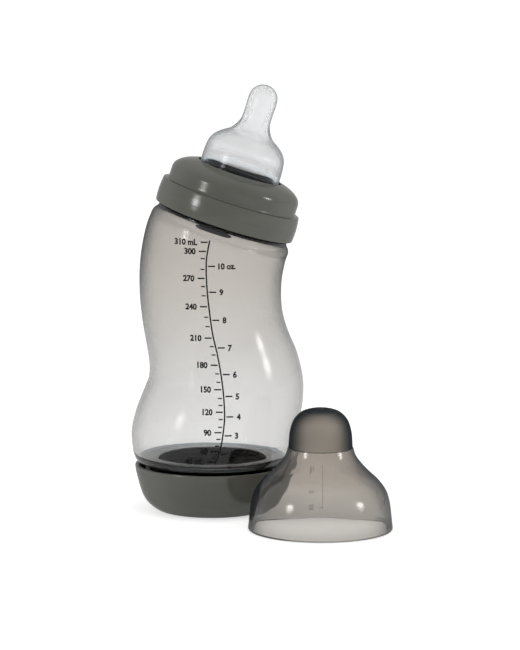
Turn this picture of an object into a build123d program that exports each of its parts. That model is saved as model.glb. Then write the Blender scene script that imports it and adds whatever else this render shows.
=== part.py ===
from build123d import *
import math
import os

os.makedirs("parts", exist_ok=True)

# Feeding bottle: base cup, valve disc, S-bent body, screw ring, teat and a separate cap.
# Millimetres, +Z up, origin at the middle of the foot ring. The bend lies in the XZ plane.

# necks and threads, the same size at both ends of the body
neck_radius = 24.4
neck_wall = 1.9
thread_depth = 1.4
thread_pitch = 4.2
thread_turns = 1.25
thread_root_width = 2.0
thread_crest_width = 1.2
thread_clearance = 0.4
thread_flank_gap = 0.35
thread_fade_angle = 30.0
thread_bite = 0.3

# body
body_height = 96.4
body_wall = 1.6
bend_shift = 5.2
bottom_land = 5.2
bottom_round = 3.3
ledge_thickness = 2.0
neck_tilt = 17.8
neck_offset_x = 4.8
shoulder_drop = 4.8
shoulder_step = 5.15
bead_step = 3.3
bead_top = -0.6
bead_height = 1.4
shoulder_thickness = 1.9
stop_rib_rise = 1.0
stop_rib_arc = 32.0
stop_rib_turn = -97.0
upper_neck_top = 16.4
lower_neck_length = 13.8
upper_thread_start = 4.5
lower_thread_start = 3.5

# body stations: height share, sideways share of the bend, radius beyond the neck, tilt share
body_stations = [
    (0.000, 0.000, 8.70, 0.00),
    (0.056, -0.010, 9.35, 0.26),
    (0.110, 0.200, 9.10, 0.62),
    (0.176, 0.560, 8.55, 0.74),
    (0.247, 0.930, 8.45, 0.46),
    (0.318, 1.050, 8.00, 0.00),
    (0.394, 0.860, 6.80, -0.50),
    (0.471, 0.530, 5.25, -0.72),
    (0.558, 0.190, 4.65, -0.68),
    (0.646, -0.040, 4.75, -0.40),
    (0.733, -0.140, 4.98, -0.06),
    (0.821, -0.095, 5.22, 0.28),
    (0.898, 0.100, 5.36, 0.62),
    (0.957, 0.350, 5.32, 0.87),
]

# screw ring
ring_lift = 0.2
ring_wall = 3.2
skirt_height = 10.4
skirt_draft = 0.4
skirt_bulge = 0.7
skirt_round = 0.6
step_in = 1.7
ring_dome_rise = 5.2
ring_hole_gap = 0.9
ring_seat_gap = 0.4
ring_hole_edge = 1.7
ring_inner_step = 1.0
ring_thread_turn = 50.0

# teat
flange_setback = 0.6
flange_thickness = 1.9
flange_chamfer = 0.8
teat_wall = 1.8
teat_radius = 16.9
teat_collar_step = 2.4
teat_collar_rise = 1.3
teat_shoulder_rise = 2.8
seal_lip_depth = 1.2
seal_lip_width = 0.9
nipple_radius = 6.0
teat_tip = 59.0
feed_hole_radius = 0.4

# base cup
foot_radius = 21.6
foot_inner_radius = 19.6
foot_rise = 1.6
cup_floor_top = 4.0
cup_floor_middle = 3.2
cup_floor_middle_radius = 18.6
pocket_clearance = 0.3
pocket_rise = 0.6
collar_wall = 1.8
collar_drop = 2.5
groove_depth = 8.7
rim_step = 7.8
rim_drop = 0.7
rim_wall = 1.7
air_hole_radius = 1.5
air_hole_ring = 12.0
air_hole_count = 4
cup_thread_turn = -52.0

# valve disc
valve_thickness = 2.2
valve_overhang = 1.1
valve_lip_height = 1.0
valve_lip_width = 1.0
membrane_thickness = 1.1
membrane_drop = 0.7
boss_radius = 4.0
slit_length = 6.0
slit_width = 0.4
slit_count = 3

# protective cap
cap_wall = 1.5
cap_top_wall = 1.1
cap_bore_clearance = 0.3
cap_bore_depth = 5.0
cap_height = 49.9
cap_nub_radius = 13.0
cap_nub_foot = 34.0
cap_vent_radius = 1.8
cap_gap = 1.5
cap_direction = -44.7

# worked out from the values above
neck_inner = neck_radius - neck_wall
flange_radius = neck_radius - flange_setback
valve_radius = neck_radius + valve_overhang
thread_crest = neck_radius + thread_depth
bore_radius = thread_crest + thread_clearance
inner_crest = neck_radius + thread_clearance
flank_slope = (thread_root_width - thread_crest_width) / thread_depth
flank_middle_width = thread_crest_width + flank_slope * (thread_depth - thread_clearance) / 2
flank_offset = flank_middle_width + thread_flank_gap
ring_hole_radius = teat_radius + ring_hole_gap
teat_collar_radius = teat_radius + teat_collar_step
ring_ceiling = upper_neck_top + flange_thickness
ring_seat = ring_ceiling + teat_collar_rise + ring_seat_gap
ring_top = ring_seat + ring_hole_edge
teat_shoulder = ring_top + teat_shoulder_rise
teat_share = (teat_tip - nipple_radius - teat_shoulder) / 28.5
nub_share = (cap_height - cap_nub_foot) / 15.9
valve_top = cup_floor_top + valve_thickness
lower_neck_bottom = valve_top
body_bottom = lower_neck_bottom + lower_neck_length
lower_thread_foot = lower_neck_bottom + lower_thread_start
collar_top = body_bottom - collar_drop
rim_top = body_bottom - rim_drop
groove_bottom = rim_top - groove_depth
neck_height_z = body_bottom + body_height + shoulder_drop * math.cos(math.radians(neck_tilt))
tilt = math.radians(neck_tilt)
neck_axis = (math.sin(tilt), 0, math.cos(tilt))
neck_origin = (neck_offset_x, 0, neck_height_z)
neck_across = (math.cos(tilt), 0, -math.sin(tilt))
neck_location = Plane(origin=neck_origin, x_dir=neck_across, z_dir=neck_axis).location
shoulder_origin = (
    neck_offset_x - shoulder_drop * math.sin(tilt),
    neck_height_z - shoulder_drop * math.cos(tilt),
)
bottom_radius = neck_radius + body_stations[0][2]
body_start = body_bottom + bottom_land
body_rise = body_height - bottom_land


def thread(core_radius, crest_radius, start_height, start_angle):
    """A fading right-hand tooth between two radii, wound upward from a start height."""
    outward = 1 if crest_radius > core_radius else -1
    steps = round(thread_turns * 12)
    with BuildPart() as tooth:
        for step in range(steps + 1):
            turn = step / 12
            fade = min(1.0, 0.35 + 0.65 * min(step, steps - step) * 30.0 / thread_fade_angle / 2)
            angle = math.radians(start_angle) + turn * 2 * math.pi
            height = start_height + turn * thread_pitch
            across = (math.cos(angle), math.sin(angle), 0)
            along = (math.sin(angle), -math.cos(angle), 0)
            origin = (core_radius * across[0], core_radius * across[1], height)
            depth = thread_depth * fade * outward
            bite = -thread_bite * outward
            root_half = thread_root_width / 2
            crest_half = root_half - (thread_root_width - thread_crest_width) / 2 * fade
            with BuildSketch(Plane(origin=origin, x_dir=across, z_dir=along)):
                with BuildLine():
                    Polyline(
                        (bite, -root_half),
                        (depth, -crest_half),
                        (depth, crest_half),
                        (bite, root_half),
                        close=True,
                    )
                make_face()
        loft()
    return tooth.part


# bottle body, outer skin
with BuildPart() as body_outer:
    for height_share, side_share, radius_step, tilt_share in body_stations:
        station_tilt = math.radians(neck_tilt * tilt_share)
        station = Plane(
            origin=(side_share * bend_shift, 0, body_start + height_share * body_rise),
            x_dir=(math.cos(station_tilt), 0, -math.sin(station_tilt)),
            z_dir=(math.sin(station_tilt), 0, math.cos(station_tilt)),
        )
        with BuildSketch(station):
            Circle(neck_radius + radius_step)
    with BuildSketch(Plane(
        origin=(shoulder_origin[0], 0, shoulder_origin[1]),
        x_dir=neck_across,
        z_dir=neck_axis,
    )):
        Circle(neck_radius + shoulder_step)
    loft()

# bottle body, hollow inside of the same stations
with BuildPart() as body_inner:
    for height_share, side_share, radius_step, tilt_share in body_stations:
        station_tilt = math.radians(neck_tilt * tilt_share)
        station = Plane(
            origin=(side_share * bend_shift, 0, body_start + height_share * body_rise),
            x_dir=(math.cos(station_tilt), 0, -math.sin(station_tilt)),
            z_dir=(math.sin(station_tilt), 0, math.cos(station_tilt)),
        )
        with BuildSketch(station):
            Circle(neck_radius + radius_step - body_wall)
    with BuildSketch(Plane(
        origin=(shoulder_origin[0], 0, shoulder_origin[1]),
        x_dir=neck_across,
        z_dir=neck_axis,
    )):
        Circle(neck_radius + shoulder_step - body_wall)
    loft()

# rounded bottom of the body with the lower neck
with BuildPart() as bottom_outer:
    with BuildSketch(Plane.XZ):
        with BuildLine():
            Polyline(
                (bottom_radius, body_start),
                (0, body_start),
                (0, lower_neck_bottom),
                (neck_radius, lower_neck_bottom),
                (neck_radius, body_bottom),
                (bottom_radius - bottom_round, body_bottom),
            )
            Spline(
                (bottom_radius - bottom_round, body_bottom),
                (bottom_radius - 0.35 * bottom_round, body_bottom + 0.33 * bottom_land),
                (bottom_radius, body_start),
                tangents=[(1, 0.1), (0.12, 1)],
            )
        make_face()
    revolve(axis=Axis.Z)

with BuildPart() as bottom_inner:
    inner_bottom_radius = bottom_radius - body_wall
    inner_floor = body_bottom + ledge_thickness
    with BuildSketch(Plane.XZ):
        with BuildLine():
            Polyline(
                (inner_bottom_radius, body_start),
                (0, body_start),
                (0, lower_neck_bottom),
                (neck_inner, lower_neck_bottom),
                (neck_inner, inner_floor - 0.3),
                (neck_inner + 0.6, inner_floor),
                (inner_bottom_radius - bottom_round, inner_floor),
            )
            Spline(
                (inner_bottom_radius - bottom_round, inner_floor),
                (inner_bottom_radius - 0.35 * bottom_round, inner_floor + 0.33 * (body_start - inner_floor)),
                (inner_bottom_radius, body_start),
                tangents=[(1, 0.1), (0.12, 1)],
            )
        make_face()
    revolve(axis=Axis.Z)

# shoulder, bead and upper neck, drawn upright with the ring's foot at height 0
with BuildPart() as top_outer:
    bead_radius = neck_radius + bead_step
    with BuildSketch(Plane.XZ):
        with BuildLine():
            Polyline(
                (bead_radius, bead_top - bead_height),
                (bead_radius, bead_top),
                (neck_radius, bead_top),
                (neck_radius, upper_neck_top),
                (0, upper_neck_top),
                (0, -shoulder_drop),
                (neck_radius + shoulder_step, -shoulder_drop),
            )
            Spline(
                (neck_radius + shoulder_step, -shoulder_drop),
                (neck_radius + 0.82 * shoulder_step, -0.6 * shoulder_drop),
                (bead_radius, bead_top - bead_height),
                tangents=[(-0.12, 1), (-1, 0.7)],
            )
        make_face()
    revolve(axis=Axis.Z)
    with BuildSketch(Plane.XZ.rotated((0, 0, stop_rib_turn - stop_rib_arc / 2))):
        with Locations((bead_radius - 0.4, bead_top - 1.6)):
            RectangleRounded(2 * stop_rib_rise + 0.8, 2.4, 0.6)
    revolve(axis=Axis.Z, revolution_arc=stop_rib_arc)

with BuildPart() as top_inner:
    inner_shoulder = neck_radius + shoulder_step - body_wall
    with BuildSketch(Plane.XZ):
        with BuildLine():
            Polyline(
                (neck_inner, bead_top - shoulder_thickness),
                (neck_inner, upper_neck_top),
                (0, upper_neck_top),
                (0, -shoulder_drop),
                (inner_shoulder, -shoulder_drop),
            )
            Spline(
                (inner_shoulder, -shoulder_drop),
                (inner_shoulder - 1.3, -0.67 * shoulder_drop),
                (neck_inner, bead_top - shoulder_thickness),
                tangents=[(-0.12, 1), (-1, 0.1)],
            )
        make_face()
    revolve(axis=Axis.Z)

upper_thread = thread(neck_radius, thread_crest, upper_thread_start, 0.0)
lower_thread = thread(neck_radius, thread_crest, lower_thread_foot, 0.0)

with BuildPart() as bottle_body:
    add(body_outer.part)
    add(bottom_outer.part)
    add(lower_thread)
    with Locations(neck_location):
        add(top_outer.part)
        add(upper_thread)
    add(body_inner.part, mode=Mode.SUBTRACT)
    add(bottom_inner.part, mode=Mode.SUBTRACT)
    with Locations(neck_location):
        add(top_inner.part, mode=Mode.SUBTRACT)

# screw ring, drawn upright in the same frame as the upper neck
ring_skirt_radius = bore_radius + ring_wall
ring_ledge = ring_lift + skirt_height
ring_dome_radius = ring_skirt_radius - skirt_draft - step_in
ring_dome_start = ring_ledge + 0.8
ring_shoulder = ring_dome_start + ring_dome_rise
ring_inner_radius = bore_radius - ring_inner_step
ring_start = ring_thread_turn / 360 * thread_pitch + upper_thread_start - flank_offset
ring_thread = thread(bore_radius, inner_crest, ring_start, ring_thread_turn)
with BuildPart() as ring_upright:
    with BuildSketch(Plane.XZ):
        with BuildLine():
            Polyline(
                (bore_radius + skirt_round, ring_lift),
                (ring_skirt_radius - skirt_round, ring_lift),
                (ring_skirt_radius, ring_lift + skirt_round),
            )
            Spline(
                (ring_skirt_radius, ring_lift + skirt_round),
                (ring_skirt_radius - skirt_draft / 2 + skirt_bulge, ring_lift + skirt_height / 2),
                (ring_skirt_radius - skirt_draft, ring_ledge - skirt_round),
            )
            Polyline(
                (ring_skirt_radius - skirt_draft, ring_ledge - skirt_round),
                (ring_skirt_radius - skirt_draft - skirt_round, ring_ledge),
                (ring_dome_radius + 0.3, ring_ledge + 0.1),
                (ring_dome_radius, ring_dome_start),
            )
            Line((ring_dome_radius, ring_dome_start), (ring_dome_radius, ring_shoulder - 1.0))
            Spline(
                (ring_dome_radius, ring_shoulder - 1.0),
                (ring_dome_radius - 1.8, ring_ceiling + 0.2),
                (ring_dome_radius - 6.1, ring_top - 0.8),
                (ring_hole_radius + 0.5, ring_top),
                tangents=[(0, 1), (-1, 0.05)],
            )
            Polyline(
                (ring_hole_radius + 0.5, ring_top),
                (ring_hole_radius, ring_top - 0.5),
                (ring_hole_radius, ring_seat),
                (teat_collar_radius + 0.4, ring_seat),
                (teat_collar_radius + 0.4, ring_ceiling),
                (flange_radius - flange_chamfer + 0.5, ring_ceiling),
                (flange_radius + 0.4, ring_ceiling - flange_chamfer + 0.2),
                (ring_inner_radius, upper_neck_top - 0.2),
                (ring_inner_radius, ring_dome_start + 1.0),
                (bore_radius, ring_ledge + 0.4),
                (bore_radius, ring_lift + skirt_round),
                (bore_radius + skirt_round, ring_lift),
            )
        make_face()
    revolve(axis=Axis.Z)
    add(ring_thread)

with BuildPart() as screw_ring:
    with Locations(neck_location):
        add(ring_upright.part)

# teat, drawn upright in the same frame as the upper neck
teat_inner = teat_radius - teat_wall
lip_outer = neck_inner - pocket_clearance
with BuildPart() as teat_upright:
    with BuildSketch(Plane.XZ):
        with BuildLine():
            Polyline(
                (teat_radius, ring_ceiling + teat_collar_rise),
                (teat_collar_radius - 0.3, ring_ceiling + teat_collar_rise),
                (teat_collar_radius, ring_ceiling + teat_collar_rise - 0.3),
                (teat_collar_radius, ring_ceiling),
                (flange_radius - flange_chamfer, ring_ceiling),
                (flange_radius, ring_ceiling - flange_chamfer),
                (flange_radius, upper_neck_top),
                (lip_outer, upper_neck_top),
                (lip_outer - 0.2, upper_neck_top - seal_lip_depth),
                (lip_outer - seal_lip_width, upper_neck_top - seal_lip_depth),
                (lip_outer - seal_lip_width - 0.4, upper_neck_top),
                (teat_inner + 1.2, upper_neck_top),
                (teat_inner, upper_neck_top + 1.6),
                (teat_inner, teat_shoulder),
            )
            Spline(
                (teat_inner, teat_shoulder),
                (teat_inner - 0.2, teat_shoulder + 3.5 * teat_share),
                (teat_inner - 0.9, teat_shoulder + 6.5 * teat_share),
                (teat_inner - 2.6, teat_shoulder + 8.4 * teat_share),
                (teat_inner - 5.2, teat_shoulder + 10.3 * teat_share),
                (teat_inner - 8.5, teat_shoulder + 12.9 * teat_share),
                (nipple_radius - teat_wall + 0.2, teat_shoulder + 17.9 * teat_share),
                (nipple_radius - teat_wall, teat_shoulder + 20.5 * teat_share),
                (nipple_radius - teat_wall, teat_tip - nipple_radius),
                tangents=[(0, 1), (0, 1)],
            )
            RadiusArc(
                (nipple_radius - teat_wall, teat_tip - nipple_radius),
                (0, teat_tip - teat_wall - 0.1),
                -(nipple_radius - teat_wall),
            )
            Line((0, teat_tip - teat_wall - 0.1), (0, teat_tip))
            RadiusArc((0, teat_tip), (nipple_radius, teat_tip - nipple_radius), nipple_radius)
            Spline(
                (nipple_radius, teat_tip - nipple_radius),
                (nipple_radius, teat_shoulder + 20.5 * teat_share),
                (nipple_radius + 0.35, teat_shoulder + 17.9 * teat_share),
                (nipple_radius + 2.8, teat_shoulder + 13.7 * teat_share),
                (teat_radius - 4.7, teat_shoulder + 11.3 * teat_share),
                (teat_radius - 2.3, teat_shoulder + 9.2 * teat_share),
                (teat_radius - 0.8, teat_shoulder + 6.7 * teat_share),
                (teat_radius - 0.2, teat_shoulder + 3.5 * teat_share),
                (teat_radius, teat_shoulder),
                tangents=[(0, -1), (0, -1)],
            )
            Line((teat_radius, teat_shoulder), (teat_radius, ring_ceiling + teat_collar_rise))
        make_face()
    revolve(axis=Axis.Z)
    Cylinder(feed_hole_radius, 2 * teat_tip, mode=Mode.SUBTRACT)

with BuildPart() as teat:
    with Locations(neck_location):
        add(teat_upright.part)

# base cup
rim_radius = neck_radius + rim_step
collar_radius = bore_radius + collar_wall
pocket_radius = valve_radius + pocket_clearance
cup_start = cup_thread_turn / 360 * thread_pitch + lower_thread_foot + flank_offset
cup_thread = thread(bore_radius, inner_crest, cup_start, cup_thread_turn)
with BuildPart() as base_cup:
    with BuildSketch(Plane.XZ):
        with BuildLine():
            Polyline(
                (0, foot_rise),
                (foot_inner_radius, foot_rise),
                (foot_inner_radius + 0.5, 0),
                (foot_radius, 0),
            )
            Spline(
                (foot_radius, 0),
                (rim_radius - 8.3, 0.9),
                (rim_radius - 4.8, 3.9),
                (rim_radius - 2.0, 9.8),
                (rim_radius - 0.45, 15.7),
                (rim_radius, rim_top - 0.7),
                tangents=[(1, 0.1), (0.1, 1)],
            )
            Spline(
                (rim_radius, rim_top - 0.7),
                (rim_radius - rim_wall / 2, rim_top),
                (rim_radius - rim_wall, rim_top - 0.8),
                tangents=[(0, 1), (0, -1)],
            )
            Polyline(
                (rim_radius - rim_wall, rim_top - 0.8),
                (rim_radius - rim_wall - 1.6, groove_bottom + 1.0),
                (rim_radius - rim_wall - 2.2, groove_bottom),
                (collar_radius + 0.2, groove_bottom),
                (collar_radius, groove_bottom + 0.4),
                (collar_radius, collar_top - 0.4),
                (collar_radius - 0.4, collar_top),
                (bore_radius + 0.4, collar_top),
                (bore_radius, collar_top - 0.4),
                (bore_radius, valve_top + pocket_rise + 0.4),
                (pocket_radius, valve_top + pocket_rise),
                (pocket_radius, cup_floor_top),
                (cup_floor_middle_radius + 1.0, cup_floor_top),
                (cup_floor_middle_radius, cup_floor_middle),
                (0, cup_floor_middle),
                (0, foot_rise),
            )
        make_face()
    revolve(axis=Axis.Z)
    with PolarLocations(air_hole_ring, air_hole_count, start_angle=45):
        Cylinder(air_hole_radius, 4 * cup_floor_top, mode=Mode.SUBTRACT)
    add(cup_thread)

# valve disc
valve_step = neck_inner - pocket_clearance
membrane_bottom = cup_floor_top + 0.5
membrane_top = membrane_bottom + membrane_thickness
with BuildPart() as valve_disc:
    with BuildSketch(Plane.XZ):
        with BuildLine():
            Polyline(
                (0, membrane_bottom),
                (boss_radius, membrane_bottom),
                (valve_step - 3.4, membrane_bottom + membrane_drop),
                (valve_step - 2.2, cup_floor_top),
                (valve_radius, cup_floor_top),
                (valve_radius, valve_top),
                (valve_step, valve_top),
                (valve_step, valve_top + valve_lip_height),
                (valve_step - valve_lip_width, valve_top + valve_lip_height),
                (valve_step - valve_lip_width - 0.6, membrane_top + membrane_drop),
                (boss_radius + 1.0, membrane_top),
                (boss_radius, valve_top),
                (0, valve_top),
                close=True,
            )
        make_face()
    revolve(axis=Axis.Z)
    with PolarLocations(boss_radius + 2.5 + slit_length / 2, slit_count, start_angle=30):
        Box(slit_length, slit_width, 6 * valve_thickness + 2 * cup_floor_top, mode=Mode.SUBTRACT)

# protective cap, standing beside the bottle on the floor
cap_inner = ring_dome_radius + cap_bore_clearance
cap_radius = cap_inner + cap_wall
cap_distance = rim_radius + cap_radius + cap_gap
cap_x = cap_distance * math.cos(math.radians(cap_direction))
cap_y = cap_distance * math.sin(math.radians(cap_direction))
foot_share = cap_nub_foot / 34.0
with BuildPart() as cap_upright:
    with BuildSketch(Plane.XZ):
        with BuildLine():
            Polyline(
                (cap_inner + 0.5, 0),
                (cap_radius - 0.1, 0),
                (cap_radius + 0.4, 0.5),
                (cap_radius + 0.25, 2.4),
            )
            Spline(
                (cap_radius + 0.25, 2.4),
                (cap_radius - 0.3, 7.1 * foot_share),
                (cap_radius - 0.9, 11.4 * foot_share),
                (cap_radius - 2.3, 15.8 * foot_share),
                (cap_radius - 5.3, 20.0 * foot_share),
                (cap_radius - 9.6, 24.1 * foot_share),
                (cap_nub_radius + 3.4, 27.5 * foot_share),
                (cap_nub_radius + 1.4, 30.3 * foot_share),
                (cap_nub_radius + 0.3, cap_nub_foot - 0.5),
                tangents=[(0, 1), (-0.35, 1)],
            )
            Line((cap_nub_radius + 0.3, cap_nub_foot - 0.5), (cap_nub_radius, cap_nub_foot))
            Spline(
                (cap_nub_radius, cap_nub_foot),
                (cap_nub_radius - 0.5, cap_height - 9.4 * nub_share),
                (cap_nub_radius - 2.1, cap_height - 4.7 * nub_share),
                (cap_nub_radius - 5.2, cap_height - 1.6 * nub_share),
                (0, cap_height),
                tangents=[(0, 1), (-1, 0)],
            )
            Line((0, cap_height), (0, cap_height - cap_top_wall))
            Spline(
                (0, cap_height - cap_top_wall),
                (cap_nub_radius - 5.8, cap_height - cap_top_wall - 1.4 * nub_share),
                (cap_nub_radius - 3.2, cap_height - cap_top_wall - 3.9 * nub_share),
                (cap_nub_radius - 1.9, cap_height - 9.4 * nub_share),
                (cap_nub_radius - cap_wall, cap_nub_foot),
                (cap_nub_radius + 0.2, 29.3 * foot_share),
                (cap_nub_radius + 2.1, 26.3 * foot_share),
                (cap_inner - 9.3, 23.1 * foot_share),
                (cap_inner - 4.9, 19.3 * foot_share),
                (cap_inner - 2.3, 15.4 * foot_share),
                (cap_inner - 0.9, 11.2 * foot_share),
                (cap_inner, cap_bore_depth),
                tangents=[(1, 0), (0.05, -1)],
            )
            Polyline((cap_inner, cap_bore_depth), (cap_inner, 0.5), (cap_inner + 0.5, 0))
        make_face()
    revolve(axis=Axis.Z)
    with Locations((0, 0, cap_height)):
        Cylinder(cap_vent_radius, 4 * cap_wall, mode=Mode.SUBTRACT)

with BuildPart() as protective_cap:
    with Locations((cap_x, cap_y, 0)):
        add(cap_upright.part)

base_cup.part.label = "base_cup"
valve_disc.part.label = "valve_disc"
bottle_body.part.label = "bottle_body"
screw_ring.part.label = "screw_ring"
teat.part.label = "teat"
protective_cap.part.label = "protective_cap"

export_step(base_cup.part, "parts/base_cup.step")
export_step(valve_disc.part, "parts/valve_disc.step")
export_step(bottle_body.part, "parts/bottle_body.step")
export_step(screw_ring.part, "parts/screw_ring.step")
export_step(teat.part, "parts/teat.step")
export_step(protective_cap.part, "parts/protective_cap.step")
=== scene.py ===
import math

import bmesh
import bpy
from mathutils import Matrix, Vector
from mathutils.bvhtree import BVHTree


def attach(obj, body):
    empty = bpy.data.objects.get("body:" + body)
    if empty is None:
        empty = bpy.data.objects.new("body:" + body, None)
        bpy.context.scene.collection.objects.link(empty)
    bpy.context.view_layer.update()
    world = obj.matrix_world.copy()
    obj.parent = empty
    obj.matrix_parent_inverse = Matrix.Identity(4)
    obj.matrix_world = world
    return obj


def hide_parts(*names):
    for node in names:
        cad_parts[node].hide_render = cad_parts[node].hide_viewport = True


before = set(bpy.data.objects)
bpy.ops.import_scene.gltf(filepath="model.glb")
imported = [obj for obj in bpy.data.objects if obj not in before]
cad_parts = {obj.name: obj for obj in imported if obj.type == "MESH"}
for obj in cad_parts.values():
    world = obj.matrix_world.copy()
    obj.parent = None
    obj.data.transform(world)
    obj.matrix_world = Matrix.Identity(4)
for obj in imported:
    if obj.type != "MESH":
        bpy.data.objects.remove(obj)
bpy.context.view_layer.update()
mm = 0.001
print("frame loaded")


def clamp(value, low=0.0, high=1.0):
    return max(low, min(high, value))


def softStep(edge0, edge1, value):
    share = clamp((value - edge0) / (edge1 - edge0))
    return share * share * (3 - 2 * share)


def smoothed(points, steps):
    # a rounded line through all points, with steps pieces between each two
    ghost = lambda near, far: tuple(2 * n - f for n, f in zip(near, far))
    line = [ghost(points[0], points[1])] + list(points) + [ghost(points[-1], points[-2])]
    out = []
    for i in range(1, len(line) - 2):
        before, start, end, after = line[i - 1:i + 3]
        pairs = ((before, start), (start, end), (end, after))
        spans = [max(math.dist(a[:2], b[:2]), 1e-6) ** 0.5 for a, b in pairs]
        for step in range(steps):
            share = step / steps
            value = []
            for b, s, e, a in zip(before, start, end, after):
                slopeIn = (s - b) / spans[0] - (e - b) / (spans[0] + spans[1]) + (e - s) / spans[1]
                slopeOut = (e - s) / spans[1] - (a - s) / (spans[1] + spans[2]) + (a - e) / spans[2]
                slopeIn *= spans[1]
                slopeOut *= spans[1]
                square, cube = share * share, share ** 3
                value.append(
                    (2 * cube - 3 * square + 1) * s + (cube - 2 * square + share) * slopeIn
                    + (3 * square - 2 * cube) * e + (cube - square) * slopeOut
                )
            out.append(tuple(value))
    out.append(tuple(points[-1]))
    return out


def divided(start, end, step):
    # points of a straight run, start included and end left out
    count = max(1, math.ceil(math.dist(start, end) / step))
    return [tuple(s + (e - s) * i / count for s, e in zip(start, end)) for i in range(count)]


def rounded(points, radius, steps=3):
    # an outline with its inner corners rounded
    out = [points[0]]
    for before, corner, after in zip(points, points[1:], points[2:]):
        toBefore = Vector(before) - Vector(corner)
        toAfter = Vector(after) - Vector(corner)
        cut = min(radius, 0.45 * toBefore.length, 0.45 * toAfter.length)
        start = Vector(corner) + toBefore.normalized() * cut
        end = Vector(corner) + toAfter.normalized() * cut
        for i in range(steps + 1):
            share = i / steps
            blend = start * (1 - share) ** 2 + Vector(corner) * 2 * share * (1 - share) + end * share ** 2
            out.append(tuple(blend))
    out.append(points[-1])
    return out


def newPiece(name, mesh, body, material, node=None):
    made = bpy.data.objects.new(name, mesh)
    bpy.context.scene.collection.objects.link(made)
    mesh.materials.clear()
    mesh.materials.append(material)
    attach(made, body)
    if node:
        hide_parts(node)


def shaded(mesh, sharpAngle=32):
    mesh.shade_smooth()
    mesh.set_sharp_from_angle(angle=math.radians(sharpAngle))
    return mesh


def joinLoops(work, lowerLoops, upperLoops):
    # four-sided faces between each two loops of the same size
    for lower, upper in zip(lowerLoops, upperLoops):
        for i in range(len(lower)):
            j = (i + 1) % len(lower)
            work.faces.new((lower[i], lower[j], upper[j], upper[i]))


def meshFrom(work, name):
    bmesh.ops.recalc_face_normals(work, faces=work.faces)
    mesh = bpy.data.meshes.new(name)
    work.to_mesh(mesh)
    work.free()
    return mesh


def ringMesh(name, rows, segments, place=Matrix(), sharpAngle=32):
    # rows: (centre x, centre z, tilt, reach) in mm, each a circle of a skin that closes on itself;
    # reach is a radius, or a function that gives one for an angle
    work = bmesh.new()
    loops = []
    for centreX, centreZ, tilt, reach in rows:
        across = Vector((math.cos(tilt), 0, -math.sin(tilt)))
        middle = Vector((centreX, 0, centreZ))
        loop = []
        for i in range(segments):
            angle = 2 * math.pi * i / segments
            out = reach(angle) if callable(reach) else reach
            spot = middle + across * out * math.cos(angle) + Vector((0, out * math.sin(angle), 0))
            loop.append(work.verts.new(place @ (spot * mm)))
        loops.append(loop)
    joinLoops(work, loops, loops[1:] + loops[:1])
    return shaded(meshFrom(work, name), sharpAngle)


def markSides(mesh, segments, firstInside):
    # 1 on the outer face of a hollow piece and 0 on its inner one, which gets no painted dark edges
    side = mesh.attributes.new("outside", "FLOAT", "POINT")
    side.data.foreach_set("value", [float(i < firstInside * segments) for i in range(len(mesh.vertices))])


def turnedRow(radius, z):
    # a level circle round the upright axis
    return (0.0, z, 0.0, radius)


def turnedRows(points):
    return [turnedRow(radius, z) for radius, z in points]


def outlineRows(runs, step):
    # runs of a turned outline: ("line" or "curve", points); the end of a run is the start of the next
    rows = []
    for kind, points in runs:
        if kind == "curve":
            rows += smoothed(points, 5)[:-1]
        else:
            for start, end in zip(points, points[1:]):
                rows += divided(start, end, step)
    return rows


class Signal:
    # one socket of a node tree, so that shader maths reads as sums
    def __init__(self, tree, socket=None):
        self.tree = tree
        self.socket = socket

    def node(self, kind, settings=None, inputs=None, output=0):
        made = self.tree.nodes.new(kind)
        for key, value in (settings or {}).items():
            setattr(made, key, value)
        for key, value in (inputs or {}).items():
            if isinstance(value, Signal):
                self.tree.links.new(value.socket, made.inputs[key])
            else:
                made.inputs[key].default_value = value
        return Signal(self.tree, made.outputs[output])

    def maths(self, operation, *values):
        return self.node("ShaderNodeMath", {"operation": operation}, dict(enumerate(values)))

    def __add__(self, other):
        return self.maths("ADD", self, other)

    def __radd__(self, other):
        return self.maths("ADD", other, self)

    def __sub__(self, other):
        return self.maths("SUBTRACT", self, other)

    def __rsub__(self, other):
        return self.maths("SUBTRACT", other, self)

    def __mul__(self, other):
        return self.maths("MULTIPLY", self, other)

    def __rmul__(self, other):
        return self.maths("MULTIPLY", other, self)

    def between(self, low, high):
        return self.node(
            "ShaderNodeMapRange",
            {"interpolation_type": "SMOOTHSTEP"},
            {"Value": self, "From Min": low, "From Max": high, "To Min": 0.0, "To Max": 1.0},
        )

    def colour(self, first, second):
        # from one colour to the other as this signal goes from 0 to 1; the colour sockets are 6, 7 and 2
        return self.node("ShaderNodeMix", {"data_type": "RGBA"}, {0: self, 6: first, 7: second}, output=2)

    def along(self, axis):
        return self.node(
            "ShaderNodeVectorMath", {"operation": "DOT_PRODUCT"}, {0: self, 1: axis}, output="Value"
        )

    def stripe(self, foot, top, soft):
        # 1 between foot and top, in mm, with soft ends outside them
        rising = self.between((foot - soft) * mm, foot * mm)
        return rising * (1 - self.between(top * mm, (top + soft) * mm))


def newMaterial(name):
    material = bpy.data.materials.new(name)
    material.use_nodes = True
    material.node_tree.nodes.clear()
    return material, Signal(material.node_tree)


def finishMaterial(start, surface, volume=None):
    made = start.tree.nodes.new("ShaderNodeOutputMaterial")
    for key, signal in (("Surface", surface), ("Volume", volume)):
        if signal:
            start.tree.links.new(signal.socket, made.inputs[key])


def place(start):
    # the point on the piece, in metres
    return start.node("ShaderNodeTexCoord", output="Object")


def noise(start, where, scale, detail):
    return start.node(
        "ShaderNodeTexNoise", {}, {"Vector": where, "Scale": scale, "Detail": detail, "Roughness": 0.55}
    )


def bump(start, height, distance, strength):
    return start.node("ShaderNodeBump", {}, {"Height": height, "Distance": distance, "Strength": strength})


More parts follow.
